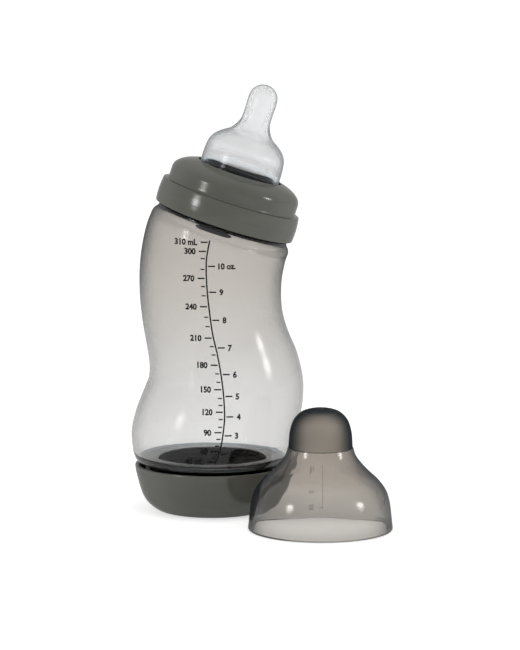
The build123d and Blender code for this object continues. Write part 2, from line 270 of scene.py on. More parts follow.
def principled(start, inputs):
    return start.node("ShaderNodeBsdfPrincipled", {}, inputs)


def mixed(start, share, first, second):
    return start.node("ShaderNodeMixShader", {}, {0: share, 1: first, 2: second})


def grey(value):
    return (value, value, value, 1.0)


def facingAway(start):
    # from 0 where a face looks straight out to 1 where it is seen edge on
    return start.node("ShaderNodeLayerWeight", {}, {"Blend": 0.5}, output="Facing")


def outerFacing(start):
    # the same, on the outer faces only
    outside = start.node("ShaderNodeAttribute", {"attribute_name": "outside"}, output="Fac")
    return facingAway(start) * outside


# mixes in a dark finish without reflection where a piece is seen edge on: a painted dark reflection along its
# edges
def paintedDarkReflection(start, shader, share, colour):
    dark = principled(start, {"Base Color": colour, "Roughness": 0.5, "Specular IOR Level": 0.0})
    return mixed(start, share, shader, dark)


def finishSeeThrough(start, surface, options):
    # the wall takes up light on its way through, and lamp light passes as tinted light to what is inside
    volume = start.node(
        "ShaderNodeVolumeAbsorption", {}, {"Color": options["depthTint"], "Density": options["density"]}
    )
    isShadow = start.node("ShaderNodeLightPath", output="Is Shadow Ray")
    clear = start.node("ShaderNodeBsdfTransparent", {}, {"Color": options["lampTint"]})
    finishMaterial(start, mixed(start, isShadow, surface, clear), volume)


def olivePlastic(name, options):
    # moulded satin plastic: a fine even grain, faint flow marks and slightly uneven gloss
    material, start = newMaterial(name)
    spot = place(start)
    flow = noise(start, spot, 45.0, 4.0)
    grain = noise(start, spot, 2600.0, 2.0)
    drawnOut = start.node("ShaderNodeMapping", {}, {"Vector": spot, "Scale": (1.0, 1.0, 9.0)})
    scratches = noise(start, drawnOut, 160.0, 3.0)
    finishMaterial(start, principled(start, {
        "Base Color": flow.between(0.3, 0.7).colour(options["dark"], options["light"]),
        "Roughness": flow * 0.08 + scratches * 0.06 + (options["roughness"] - 0.07),
        "IOR": 1.47,
        "Specular IOR Level": options["gloss"],
        "Coat Weight": (1 - facingAway(start).between(0.3, 0.8)) * options["coat"],
        "Coat Roughness": 0.13,
        "Normal": bump(start, grain * 0.5 + flow, 0.00004, 0.35),
    }))
    return material


def smokyPlastic(name, options):
    # clear tinted plastic, darker towards the top, and darker at its edges where it is seen edge on: a painted
    # dark reflection
    material, start = newMaterial(name)
    spot = place(start)
    height = start.node("ShaderNodeSeparateXYZ", {}, {"Vector": spot}, output="Z")
    waves = noise(start, spot, 28.0, 2.0)
    fine = noise(start, spot, 420.0, 2.0)
    facing = outerFacing(start)
    nub = options.get("nub")
    fadeFoot, fadeTop = options["fade"]
    base = height.between(fadeFoot * mm, fadeTop * mm).colour(options["lowTint"], options["highTint"])
    if nub:
        onNub = height.between(nub["foot"] * mm, nub["frostStart"] * mm)
        base = onNub.colour(base, nub["tint"])
        # a painted shade line in the step under the nub
        base = height.stripe(*nub["stepLine"], nub["stepSoft"]).colour(base, nub["stepShade"])
    # painted dark reflection: a darker colour where the outer face is seen edge on, deeper towards the top
    fadeFoot, fadeTop = options["edgeFade"]
    edgeTone = height.between(fadeFoot * mm, fadeTop * mm)
    paintedEdgeDark = edgeTone.colour(options["lowPaintedEdge"], options["highPaintedEdge"])
    tint = facing.between(*options["edgeFrom"]).colour(base, paintedEdgeDark)
    # painted shade, dark and bluish, on the lowest part of the body, below its floor, where it sits in the base
    # cup
    if options.get("cupShade"):
        footTop, soft, shade = options["cupShade"]
        tint = height.between(footTop * mm, (footTop + soft) * mm).colour(shade, tint)
    # a painted shadow round the neck's bead, just under the ring
    if options.get("underRingShadow"):
        bandFoot, bandTop, soft, shade = options["underRingShadow"]
        tint = spot.along(tuple(neckAxis)).stripe(bandFoot, bandTop, soft).colour(tint, shade)
    roughness = waves * 0.01 + options["roughness"]
    if nub:
        roughness = onNub * (nub["roughness"] - options["roughness"]) + options["roughness"]
    surface = principled(start, {
        "Base Color": tint,
        "Roughness": roughness,
        "Transmission Weight": 1.0,
        "IOR": options["bend"],
        "Normal": bump(start, waves + fine * 0.02, options["wave"] * mm, 0.5),
    })
    low, high, lowMost, highMost, edgeColour = options["edge"]
    share = facing.between(low, high)
    if nub:
        matte = principled(start, {
            "Base Color": nub["matte"], "Roughness": fine * 0.1 + 0.5, "Specular IOR Level": 0.1,
        })
        surface = mixed(start, onNub * nub["matteShare"], surface, matte)
        share = share + onNub * (facing.between(*nub["edge"]) - share)
    surface = paintedDarkReflection(start, surface, share * (edgeTone * (highMost - lowMost) + lowMost), edgeColour)
    finishSeeThrough(start, surface, options)
    return material


def silicone(name, options):
    # soft clear silicone, glossy at the foot and frosted above it, with a painted dark reflection along its
    # edges where it is seen edge on
    material, start = newMaterial(name)
    spot = place(start)
    along = spot.along(options["axis"])
    frost = along.between(options["clearTop"] * mm, options["frostStart"] * mm)
    facing = outerFacing(start)
    grain = noise(start, spot, 900.0, 3.0)
    clouds = noise(start, spot, 90.0, 2.0)
    body = clouds.between(0.3, 0.7).colour(options["tint"], options["paleTint"])
    # painted shade, bluish, on the clear foot where it sits in the ring's opening
    if options["footGapShade"]:
        footTop, soft, footGapShade = options["footGapShade"]
        body = along.between((footTop - soft) * mm, footTop * mm).colour(footGapShade, body)
    surface = principled(start, {
        "Base Color": facing.between(0.45, 1.0).colour(body, options["paintedEdgeDark"]),
        "Roughness": frost * (options["frostRoughness"] - 0.06) + grain * 0.04 + 0.05,
        "Transmission Weight": options["clearness"],
        "IOR": options["bend"],
        "Specular IOR Level": options["gloss"],
        "Normal": bump(start, grain + clouds * 0.5, 0.00002, 0.2),
    })
    if options["milkyBand"]:
        milkyBand = options["milkyBand"]
        foot, top, most, above = (milkyBand[key] for key in ("foot", "top", "most", "above"))
        rising = along.between((foot - milkyBand["soft"]) * mm, (foot + milkyBand["soft"]) * mm)
        falling = along.between(top * mm, (top + milkyBand["fall"]) * mm)
        milk = principled(start, {
            "Base Color": grain.between(0.2, 0.8).colour(grey(0.80), grey(0.86)),
            "Roughness": grain * 0.05 + 0.2,
        })
        surface = mixed(start, rising * (falling * (above - most) + most), surface, milk)
    low, high, most, edgeColour = options["edge"]
    surface = paintedDarkReflection(start, surface, facing.between(low, high) * most, edgeColour)
    finishSeeThrough(start, surface, options)
    return material


def ink(name, alpha=1.0):
    # dense printed ink with a very fine screen grain, or a faint mark
    material, start = newMaterial(name)
    grain = noise(start, place(start), 3000.0, 2.0)
    finishMaterial(start, principled(start, {
        "Base Color": grain.between(0.3, 0.8).colour(grey(0.005), grey(0.010)),
        "Roughness": grain * 0.2 + 0.5,
        "Specular IOR Level": 0.1,
        "Alpha": alpha,
    }))
    return material


# the tilted upper neck, in mm, with heights along its axis measured from just under the ring
neck = {
    "tilt": 17.8, "offset": 4.8, "height": 120.97018, "radius": 24.4, "inner": 22.5,
    "foot": -0.6, "top": 16.4, "threadStart": 4.5,
}
tilt = math.radians(neck["tilt"])
neckAxis = Vector((math.sin(tilt), 0, math.cos(tilt)))
neckCentre = Vector((neck["offset"], 0, neck["height"]))
neckPlace = Matrix.Translation(neckCentre * mm) @ Matrix.Rotation(tilt, 4, "Y")
neckFoot = neckCentre.dot(neckAxis)

screwThread = {
    "pitch": 4.2, "turns": 1.25, "depth": 1.4, "root": 2.0, "crest": 1.2,
    "clearance": 0.4, "flankGap": 0.35, "fadeStart": 0.35, "fadeRate": 6, "overrun": 0.02,
}
flankSlope = (screwThread["root"] - screwThread["crest"]) / screwThread["depth"]
flankMiddle = screwThread["crest"] + flankSlope * (screwThread["depth"] - screwThread["clearance"]) / 2
flankOffset = flankMiddle + screwThread["flankGap"]


def tooth(angle, along, start, startAngle):
    # how far a right-hand thread's tooth stands out here, from 0 to its depth
    best = 0.0
    turn = (angle - math.radians(startAngle)) / (2 * math.pi)
    for wind in (-2, -1, 0, 1, 2):
        travelled = turn + wind
        if not -screwThread["overrun"] <= travelled <= screwThread["turns"] + screwThread["overrun"]:
            continue
        left = min(travelled, screwThread["turns"] - travelled)
        fadeStart = screwThread["fadeStart"]
        fade = clamp(fadeStart + (1 - fadeStart) * left * screwThread["fadeRate"])
        away = abs(along - start - travelled * screwThread["pitch"])
        slope = (screwThread["root"] - screwThread["crest"]) / 2
        best = max(best, fade * clamp((screwThread["root"] / 2 - away) / slope) * screwThread["depth"])
    return best


def threaded(radius, along, start, startAngle, outward=1):
    return lambda angle: radius + outward * tooth(angle, along, start, startAngle)


def neckRow(radius, along):
    # a circle round the tilted upper neck
    return (
        neck["offset"] + along * math.sin(tilt), neck["height"] + along * math.cos(tilt), tilt, radius
    )


def neckRows(points):
    return [neckRow(radius, along) for radius, along in points]


print("helpers ready")

# the finishes, with heights in mm; an edge, the painted dark reflection where a piece is seen edge on, has its
# range of turning away, how strong it gets and its colour
olive = olivePlastic("olivePlastic", {
    "dark": (0.078, 0.080, 0.063, 1), "light": (0.092, 0.094, 0.075, 1),
    "roughness": 0.3, "coat": 0.9, "gloss": 0.06,
})
# near-black satin for the stop rib: painted shade where the rib lies under the ring
underRingShade = olivePlastic("underRingShade", {
    "dark": (0.012, 0.014, 0.017, 1), "light": (0.018, 0.020, 0.024, 1),
    "roughness": 0.2, "coat": 0.15, "gloss": 0.3,
})
smokyBody = smokyPlastic("smokyBody", {
    "fade": (24.0, 114.0), "lowTint": grey(0.963), "highTint": (0.80, 0.775, 0.745, 1),
    "edgeFade": (58.0, 118.0), "edgeFrom": (0.22, 0.95),
    "lowPaintedEdge": (0.70, 0.70, 0.69, 1), "highPaintedEdge": (0.15, 0.143, 0.132, 1),
    "edge": (0.4, 0.92, 0.34, 0.9, (0.05, 0.052, 0.052, 1)),
    "cupShade": (21.45, 0.35, (0.14, 0.165, 0.18, 1)),
    "underRingShadow": (neckFoot - 0.75, neckFoot - 0.2, 0.15, (0.006, 0.007, 0.009, 1)),
    "wave": 0.02, "roughness": 0.04, "bend": 1.29,
    "depthTint": (0.50, 0.495, 0.485, 1), "density": 235.0, "lampTint": grey(0.40),
})
smokyCap = smokyPlastic("smokyCap", {
    "fade": (2.0, 26.0), "lowTint": (0.97, 0.975, 0.96, 1), "highTint": (0.95, 0.92, 0.88, 1),
    "edgeFade": (2.0, 26.0), "edgeFrom": (0.16, 0.9),
    "lowPaintedEdge": (0.34, 0.345, 0.35, 1), "highPaintedEdge": grey(0.24),
    "edge": (0.32, 0.88, 0.70, 0.90, (0.020, 0.027, 0.032, 1)),
    "nub": {
        "foot": 33.6, "frostStart": 33.9, "roughness": 0.5, "tint": (1.0, 0.965, 0.91, 1),
        "edge": (0.04, 0.66), "matte": (0.27, 0.245, 0.215, 1), "matteShare": 0.12,
        "stepLine": (33.52, 33.7), "stepSoft": 0.12, "stepShade": grey(0.12),
    },
    "wave": 0.02, "roughness": 0.03, "bend": 1.44,
    "depthTint": (0.52, 0.49, 0.46, 1), "density": 690.0, "lampTint": grey(0.30),
})
siliconeSoft = {"depthTint": (0.58, 0.60, 0.62, 1), "density": 60.0, "lampTint": grey(0.75)}
clearSilicone = silicone("clearSilicone", {
    "axis": tuple(neckAxis), "clearTop": neckFoot + 24.1, "frostStart": neckFoot + 24.5,
    "milkyBand": {
        "foot": neckFoot + 24.2, "top": neckFoot + 26.0, "most": 0.3, "above": 0.12,
        "soft": 0.25, "fall": 2.5,
    },
    "footGapShade": (neckFoot + 24.2, 0.3, (0.76, 0.81, 0.85, 1)),
    "edge": (0.34, 0.84, 0.94, (0.38, 0.40, 0.41, 1)),
    "tint": (0.965, 0.967, 0.97, 1), "paleTint": grey(0.99), "paintedEdgeDark": (0.74, 0.75, 0.76, 1),
    "gloss": 0.5, "bend": 1.22, "frostRoughness": 0.17, "clearness": 1.0, **siliconeSoft,
})
# the valve disc is made near-black: painted shade, as little light reaches it inside the bottle
shadedValveSilicone = silicone("shadedValveSilicone", {
    "axis": (0.0, 0.0, 1.0), "clearTop": 0.5, "frostStart": 1.5, "milkyBand": None, "footGapShade": None,
    "edge": (0.9, 1.0, 0.1, (0.02, 0.024, 0.028, 1)),
    "tint": (0.012, 0.016, 0.021, 1), "paleTint": (0.018, 0.023, 0.030, 1),
    "paintedEdgeDark": (0.02, 0.025, 0.03, 1),
    "gloss": 0.1, "bend": 1.41, "frostRoughness": 0.22, "clearness": 0.25, **siliconeSoft,
})
blackInk = ink("scaleInk")
faintMark = ink("faintMark", 0.2)

# bottle body: two threaded necks, one of them tilted, and an S-shaped skin between them
bottle = {
    "start": 25.2, "rise": 91.2, "shift": 5.2, "wall": 1.6, "between": 5, "skin": 0.025, "segments": 192,
    # share of the rise, share of the shift, radius beyond the neck's, share of the neck's tilt
    "stations": [
        (0.000, 0.000, 8.70, 0.00), (0.056, -0.010, 9.35, 0.26), (0.110, 0.200, 9.10, 0.62),
        (0.176, 0.560, 8.55, 0.74), (0.247, 0.930, 8.45, 0.46), (0.318, 1.050, 8.00, 0.00),
        (0.394, 0.860, 6.80, -0.50), (0.471, 0.530, 5.25, -0.72), (0.558, 0.190, 4.65, -0.68),
        (0.646, -0.040, 4.75, -0.40), (0.733, -0.140, 4.98, -0.06), (0.821, -0.095, 5.22, 0.28),
        (0.898, 0.100, 5.36, 0.62), (0.957, 0.350, 5.32, 0.87),
    ],
    "lowerFoot": 6.2, "lowerTop": 20.0, "lowerRows": 40, "lowerThreadStart": 9.7, "upperRows": 48,
    "curveSteps": 4, "flatStep": 1.4, "ledgeStep": 1.1, "lipRound": 0.3, "innerRowsLess": 4,
    "foot": [(29.8, 20.0), (31.1, 20.55), (31.945, 21.716), (32.65, 23.3), (33.1, 25.2)],
    "shoulder": [(29.55, -4.8), (29.25, -3.85), (28.7, -2.95), (28.05, -2.2), (27.7, -1.4), (27.65, -0.75)],
    "ledge": (27.6, 26.6), "lip": [(24.1, neck["top"]), (neck["inner"], neck["top"]), (neck["inner"], 14.0)],
    "innerNeck": (11.0, 8.0, 5.0, 3.4),
    "innerShoulder": [(neck["inner"], 2.8), (22.75, 1.7), (23.5, 0.3), (24.6, -1.2), (25.75, -2.7),
                      (26.8, -4.1), (27.55, -5.5), (27.95, -6.9)],
    "innerFoot": [(31.5, 25.2), (31.15, 24.1), (30.345, 23.056), (29.4, 22.4), (28.2, 22.0)],
    "innerStep": [(26.6, 22.0), (23.1, 22.0)],
    "mouthTop": (22.8, 21.9), "mouth": (21.6, 18.0, 14.0, 10.0, 6.5), "mouthFoot": [(22.8, 6.2), (24.1, 6.2)],
}


def skinRows(inset):
    # the S-shaped part of the body, upward, ending under the shoulder
    rows = []
    for heightShare, sideShare, step, tiltShare in bottle["stations"]:
        rows.append((
            sideShare * bottle["shift"], bottle["start"] + heightShare * bottle["rise"],
            tilt * tiltShare, neck["radius"] + step - inset - bottle["skin"],
        ))
    radius, along = bottle["shoulder"][0]
    rows.append(neckRow(radius - inset, along))
    return smoothed(rows, bottle["between"])


bodyRows = []
for i in range(bottle["lowerRows"]):
    z = bottle["lowerFoot"] + (bottle["lowerTop"] - bottle["lowerFoot"]) * i / bottle["lowerRows"]
    bodyRows.append(turnedRow(threaded(neck["radius"], z, bottle["lowerThreadStart"], 0.0), z))
bodyRows += turnedRows(divided((neck["radius"], bottle["lowerTop"]), bottle["foot"][0], bottle["flatStep"]))
bodyRows += turnedRows(smoothed(bottle["foot"], bottle["curveSteps"])[:-1])
bodyRows += skinRows(0.0)
bodyRows += neckRows(smoothed(bottle["shoulder"], bottle["curveSteps"])[1:])
ledgeOut, ledgeIn = bottle["ledge"]
bodyRows.append(neckRow(ledgeOut, neck["foot"]))
bodyRows += neckRows(divided((ledgeIn, neck["foot"]), (neck["radius"], neck["foot"]), bottle["ledgeStep"]))
for i in range(bottle["upperRows"] + 1):
    along = neck["foot"] + (neck["top"] - neck["foot"]) * i / bottle["upperRows"]
    bodyRows.append(neckRow(threaded(neck["radius"], along, neck["threadStart"], 0.0), along))
bodyRows += neckRows(rounded(bottle["lip"], bottle["lipRound"]))
insideStart = len(bodyRows)
bodyRows += [neckRow(neck["inner"], along) for along in bottle["innerNeck"]]
bodyRows += neckRows(smoothed(bottle["innerShoulder"], bottle["curveSteps"]))
# the inner skin ends lower than the outer one, where the inner shoulder takes over
bodyRows += skinRows(bottle["wall"])[:-bottle["innerRowsLess"]][::-1]
bodyRows += turnedRows(smoothed(bottle["innerFoot"], bottle["curveSteps"])[1:])
bodyRows += turnedRows(divided(*bottle["innerStep"], bottle["flatStep"]))
bodyRows.append(turnedRow(*bottle["mouthTop"]))
bodyRows += [turnedRow(neck["inner"], z) for z in bottle["mouth"]]
bodyRows += turnedRows(bottle["mouthFoot"])
bodyMesh = ringMesh("bottleSkin", bodyRows, bottle["segments"])
markSides(bodyMesh, bottle["segments"], insideStart)
newPiece("bottleSkin", bodyMesh, "bottle", smokyBody, "bottle_body")

rib = {
    "turn": -97.0, "arc": 32.0, "out": 28.25, "along": -2.25, "halfDepth": 0.6, "halfHeight": 0.92,
    "loops": 41, "sides": 16, "squareness": 0.7, "endPower": 5, "endLeft": 0.04,
}


def stopRib(name):
    # a rounded bar along the bead: it starts inside the wall and stands out in front of it
    work = bmesh.new()
    loops = []
    for i in range(rib["loops"]):
        share = i / (rib["loops"] - 1)
        turn = math.radians(rib["turn"] + (share - 0.5) * rib["arc"])
        swell = max(rib["endLeft"], math.sqrt(1 - abs(2 * share - 1) ** rib["endPower"]))
        loop = []
        for k in range(rib["sides"]):
            around = 2 * math.pi * k / rib["sides"]
            onCircle = (math.cos(around), math.sin(around))
            squared = [math.copysign(abs(w) ** rib["squareness"], w) for w in onCircle]
            out = rib["out"] + rib["halfDepth"] * squared[0] * swell
            along = rib["along"] + rib["halfHeight"] * squared[1] * swell
            loop.append(work.verts.new(
                neckPlace @ (Vector((out * math.cos(turn), out * math.sin(turn), along)) * mm)
            ))
        loops.append(loop)
    joinLoops(work, loops, loops[1:])
    work.faces.new(loops[0][::-1])
    work.faces.new(loops[-1])
    return shaded(meshFrom(work, name))


# the rib is of the body's own plastic, made near-black here as painted shade under the ring
newPiece("stopRib", stopRib("stopRib"), "bottle", underRingShade)
print("bottle body made")

# teat: one soft skin, clear at its foot and frosted above, with three slanting ribs inside the nipple
teatRib = {
    "top": 49.0, "fall": 7.4, "sweep": -45.0, "turns": (-124.0, -4.0, 116.0),
    "depth": 0.55, "halfWidth": 0.34, "flank": (0.3, 1.4), "fadeIn": (-0.1, 0.15), "fadeOut": (0.85, 1.1),
}
teat = {"segments": 224, "step": 0.8, "insideFrom": 18.1}


def ribbedInside(radius, along):
    # the inner face with its ribs, which start and end softly
    share = (teatRib["top"] - along) / teatRib["fall"]
    fadeIn, fadeOut = teatRib["fadeIn"], teatRib["fadeOut"]
    if not fadeIn[0] < share < fadeOut[1]:
        return radius
    fade = softStep(*fadeIn, share) * (1 - softStep(*fadeOut, share))
    flankStart, flankEnd = (part * teatRib["halfWidth"] for part in teatRib["flank"])

    def reach(angle):
        best = 0.0
        for turn in teatRib["turns"]:
            middle = turn + teatRib["sweep"] * share
            away = math.radians(abs((math.degrees(angle) - middle + 180) % 360 - 180)) * radius
            best = max(best, 1 - softStep(flankStart, flankEnd, away))
        return radius - teatRib["depth"] * fade * best
    return reach


teatOutline = outlineRows([
    ("line", [(0.4, 58.95), (0.45, 58.97)]),
    ("curve", [(0.45, 58.97), (2.3, 58.52), (4.24, 57.24), (5.54, 55.3), (6.0, 53.0), (6.0, 49.0),
               (6.0, 45.0), (6.35, 42.4), (8.8, 38.2), (12.2, 35.8), (14.6, 33.7), (16.1, 31.2),
               (16.7, 28.0), (16.9, 24.5)]),
    ("line", [(16.9, 24.5), (16.9, 20.0)]),
    ("line", [(16.9, 19.6), (19.0, 19.6), (19.3, 19.3), (19.3, 18.3), (23.0, 18.3), (23.8, 17.5), (23.8, 16.4),
              (22.2, 16.4), (22.0, 15.2), (21.3, 15.2), (20.9, 16.4), (16.3, 16.4), (15.1, 18.0)]),
    ("line", [(15.1, 18.0), (15.1, 24.5)]),
    ("curve", [(15.1, 24.5), (14.9, 28.0), (14.2, 31.0), (12.5, 32.9), (9.9, 34.8), (6.6, 37.4), (4.4, 42.4),
               (4.2, 45.0), (4.2, 49.0), (4.2, 53.0), (3.64, 55.1), (2.1, 56.64), (0.45, 57.18)]),
    ("line", [(0.45, 57.18), (0.4, 57.3)]),
], teat["step"])
seam = max(i for i, (radius, along) in enumerate(teatOutline) if along < teat["insideFrom"])
teatRows = [
    (0.0, along, 0.0, ribbedInside(radius, along) if i > seam else radius)
    for i, (radius, along) in enumerate(teatOutline)
]
teatMesh = ringMesh("teatSkin", teatRows, teat["segments"], neckPlace)
markSides(teatMesh, teat["segments"], seam + 1)
newPiece("teatSkin", teatMesh, "teat", clearSilicone, "teat")
print("teat made")

# screw ring: satin dome over a straight skirt, with the mould's parting line round the skirt
ring = {"bore": 26.2, "threadTurn": 50.0, "segments": 192, "sharpAngle": 26, "step": 0.5}
ringThreadStart = ring["threadTurn"] / 360 * screwThread["pitch"] + neck["threadStart"] - flankOffset
ringOutline = outlineRows([
    ("line", [(26.8, 0.2), (28.8, 0.2)]),
    ("line", rounded([(28.8, 0.2), (29.5, 0.22), (29.62, 1.2)], 0.22)),
    ("curve", [(29.62, 1.2), (29.74, 3.2), (29.76, 5.02)]),
    ("line", [(29.76, 5.02), (29.83, 5.12), (29.83, 5.24), (29.74, 5.34)]),
    ("curve", [(29.74, 5.34), (29.62, 7.6), (29.36, 9.7)]),
    ("line", rounded([(29.36, 9.7), (29.25, 10.5), (28.5, 10.62)], 0.35)),
    ("curve", [(28.5, 10.62), (27.95, 10.72), (27.5, 11.1), (27.32, 11.9), (27.3, 12.8)]),
    ("line", [(27.3, 12.8), (27.3, 15.6)]),
    ("curve", [(27.3, 15.6), (26.75, 17.2), (25.5, 18.6), (23.6, 19.9), (21.2, 20.9), (18.9, 21.58)]),
    ("line", rounded([(18.9, 21.58), (17.8, 21.74), (17.8, 20.0)], 0.55)),
    ("line", [(17.8, 20.0), (19.7, 20.0), (19.7, 18.3), (23.5, 18.3), (24.2, 17.7), (25.2, 16.2),
              (25.2, 12.4), (26.2, 11.0)]),
    ("line", [(26.2, 11.0), (26.2, 0.8), (26.8, 0.2)]),
], ring["step"])
ringRows = []
for radius, along in ringOutline:
    if abs(radius - ring["bore"]) < 0.01:
        radius = threaded(ring["bore"], along, ringThreadStart, ring["threadTurn"], -1)
    ringRows.append((0.0, along, 0.0, radius))
ringSkin = ringMesh("ringSkin", ringRows, ring["segments"], neckPlace, ring["sharpAngle"])
newPiece("ringSkin", ringSkin, "ring", olive, "screw_ring")
print("screw ring made")

# protective cap: clear smoky bell under a frosted nub with a small vent
cap = {
    "centre": (44.638, -44.173, 0.0), "segments": 192, "step": 0.6, "ventReach": 3.0, "ventFoot": 48.9,
}
capPlace = Matrix.Translation(Vector(cap["centre"]) * mm)
capOutline = outlineRows([
    ("line", rounded([(27.6, 3.0), (27.6, 0.5), (28.1, 0.0), (29.0, 0.0), (29.5, 0.5), (29.4, 1.6)], 0.35)),
    ("curve", [(29.4, 1.6), (29.3, 2.4), (28.8, 7.1), (28.2, 11.4), (26.8, 15.8), (23.8, 20.0), (19.5, 24.1),
               (16.4, 27.5), (14.4, 30.3), (13.35, 33.45)]),
    ("line", [(13.35, 33.45), (13.3, 33.7), (13.02, 33.85)]),
    ("curve", [(13.02, 33.85), (12.95, 36.0), (12.5, 40.5), (10.9, 45.2), (7.8, 48.3), (4.6, 49.45),
               (2.1, 49.84)]),
    ("line", rounded([(2.1, 49.84), (1.8, 49.6), (1.8, 48.9), (2.1, 48.66)], 0.15)),
    ("curve", [(2.1, 48.66), (4.4, 48.4), (7.2, 47.4), (9.8, 44.9), (11.1, 40.5), (11.5, 34.0), (13.2, 29.3),
               (15.1, 26.3), (18.3, 23.1), (22.7, 19.3), (25.3, 15.4), (26.7, 11.2), (27.5, 6.2), (27.6, 3.0)]),
], cap["step"])
capMesh = ringMesh("capSkin", turnedRows(capOutline), cap["segments"], capPlace)
insideStart = max(
    i for i, (radius, z) in enumerate(capOutline) if radius < cap["ventReach"] and z < cap["ventFoot"]
)
markSides(capMesh, cap["segments"], insideStart)
newPiece("capSkin", capMesh, "cap", smokyCap, "protective_cap")
print("protective cap made")


def carriedOver(node, material):
    # a CAD part whose shape is right keeps its mesh and gets a finish
    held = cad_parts[node]
    for slot in held.material_slots:
        slot.material = material


carriedOver("base_cup", olive)
carriedOver("valve_disc", shadedValveSilicone)
print("base cup and valve finished")

# printed scale on the body: a curved line with millilitres on its left and ounces on its right
scale = {
    "line": [(-0.53, 116.35), (-1.8, 109.16), (-1.93, 102.22), (-1.45, 94.22), (-0.57, 86.21),
             (0.64, 77.69), (2.36, 70.23), (3.88, 62.45), (4.88, 55.27), (5.49, 46.98), (5.49, 42.95),
             (4.88, 37.0), (4.14, 32.55), (2.91, 27.97), (1.55, 24.63)],
    "lineWidth": 0.6, "tickWidth": 0.5, "majorWidth": 0.575, "gap": 0.4, "major": 2.9, "minor": 1.7,
    "labelGap": 1.3, "digitHeight": 2.4, "narrow": 0.92,
    "left": [(115.62, "310 mL"), (111.91, "300"), (100.82, "270"), (89.14, "240"), (76.17, "210"),
             (65.13, "180"), (55.35, "150"), (46.15, "120"), (37.73, "90"), (29.98, "60"),
             (25.57, "40 mL")],
    "leftMinor": [108.96, 104.53, 97.48, 93.65, 84.8, 80.91, 72.68, 69.26, 61.69, 58.33, 51.79, 48.96,
                  43.12, 39.95, 35.0, 32.26, 27.08],
    "right": [(105.8, "10 oz."), (95.13, "9"), (83.52, "8"), (72.14, "7"), (61.45, "6"), (52.64, "5"),
              (44.2, "4"), (36.38, "3"), (28.83, "2 oz.")],
    "low": 0.012, "high": 0.055,
}
fontShape = {"capHeight": 0.72, "boldness": 0.042, "curveSteps": 4}


def glyphs(words):
    # the flat shape of some characters, about one unit high, with its left end at 0
    curve = bpy.data.curves.new("glyphs", "FONT")
    curve.body = words
    curve.size = 1.0
    curve.offset = fontShape["boldness"]
    curve.resolution_u = fontShape["curveSteps"]
    holder = bpy.data.objects.new("glyphs", curve)
    bpy.context.scene.collection.objects.link(holder)
    flat = bpy.data.meshes.new_from_object(holder.evaluated_get(bpy.context.evaluated_depsgraph_get()))
    corners = [(v.co.x, v.co.y) for v in flat.vertices]
    faces = [tuple(p.vertices) for p in flat.polygons]
    bpy.data.objects.remove(holder)
    bpy.data.curves.remove(curve)
    bpy.data.meshes.remove(flat)
    left = min(x for x, y in corners)
    return [(x - left, y) for x, y in corners], faces


def band(points, width):
    # a flat bar that follows a line of points
    corners, faces = [], []
    for i, (x, z) in enumerate(points):
        before, after = points[max(0, i - 1)], points[min(len(points) - 1, i + 1)]
        reach = width / 2 / math.dist(before, after)
        sideX, sideZ = (before[1] - after[1]) * reach, (after[0] - before[0]) * reach
        corners += [(x - sideX, z - sideZ), (x + sideX, z + sideZ)]
        if i:
            k = 2 * i
            faces.append((k - 2, k, k + 1, k - 1))
    return corners, faces


def bar(start, end, width, pieces):
    # a straight bar in pieces, so that it can bend over the surface
    points = [tuple(s + (e - s) * i / pieces for s, e in zip(start, end)) for i in range(pieces + 1)]
    return band(points, width)


def placed(shape, x, z, height, narrow, align):
    # a flat shape with its left end, right end or middle at x and its middle height at z
    corners, faces = shape
    width = max(across for across, up in corners) * height * narrow
    start = {"left": x, "right": x - width, "middle": x - width / 2}[align]
    middle = fontShape["capHeight"] / 2
    return [(start + across * height * narrow, z + (up - middle) * height) for across, up in corners], faces


def onSurface(name, shapes, surface, low, high, towards=1):
    # thin closed solids that lie on a surface, drawn flat in x and z and pressed along y
    farAway = 0.3
    work = bmesh.new()
    for corners, faces in shapes:
        lower, upper = [], []
        for x, z in corners:
            origin = Vector((x * mm, -towards * farAway, z * mm))
            spot, normal = surface.ray_cast(origin, Vector((0, towards, 0)))[:2]
            if spot is None:
                raise RuntimeError(f"{name} misses its surface at {x:.1f}, {z:.1f}")
            if normal.y * towards > 0:
                normal = -normal
            lower.append(work.verts.new(spot + normal * low * mm))
            upper.append(work.verts.new(spot + normal * high * mm))
        sides = {}
        for face in faces:
            work.faces.new([upper[i] for i in face])
            work.faces.new([lower[i] for i in reversed(face)])
            for a, b in zip(face, face[1:] + face[:1]):
                sides[(a, b)] = True
        for a, b in sides:
            if (b, a) not in sides:
                work.faces.new((upper[b], upper[a], lower[a], lower[b]))
    return meshFrom(work, name)


def surfaceOf(mesh):
    work = bmesh.new()
    work.from_mesh(mesh)
    tree = BVHTree.FromBMesh(work)
    work.free()
    return tree


def lineAt(line, z):
    for (x0, z0), (x1, z1) in zip(line, line[1:]):
        if min(z0, z1) <= z <= max(z0, z1):
            return x0 + (x1 - x0) * (z - z0) / (z1 - z0)
    return min(line, key=lambda spot: abs(spot[1] - z))[0]


scaleLine = smoothed(scale["line"], 6)
figureSize = scale["digitHeight"] / fontShape["capHeight"]
lineGap = scale["lineWidth"] / 2 + scale["gap"]
shapes = [band(scaleLine, scale["lineWidth"])]
for side, labels in ((-1, scale["left"]), (1, scale["right"])):
    for z, words in labels:
        near = lineAt(scaleLine, z) + side * lineGap
        far = near + side * scale["major"]
        shapes.append(bar((min(near, far), z), (max(near, far), z), scale["majorWidth"], pieces=3))
        align = "left" if side > 0 else "right"
        labelX = far + side * scale["labelGap"]
        shapes.append(placed(glyphs(words), labelX, z, figureSize, scale["narrow"], align))
for z in scale["leftMinor"]:
    near = lineAt(scaleLine, z) - lineGap
    shapes.append(bar((near - scale["minor"], z), (near, z), scale["tickWidth"], pieces=2))
scaleMesh = onSurface("printedScale", shapes, surfaceOf(bodyMesh), scale["low"], scale["high"])
newPiece("printedScale", scaleMesh, "bottle", blackInk)
print("printed scale made")

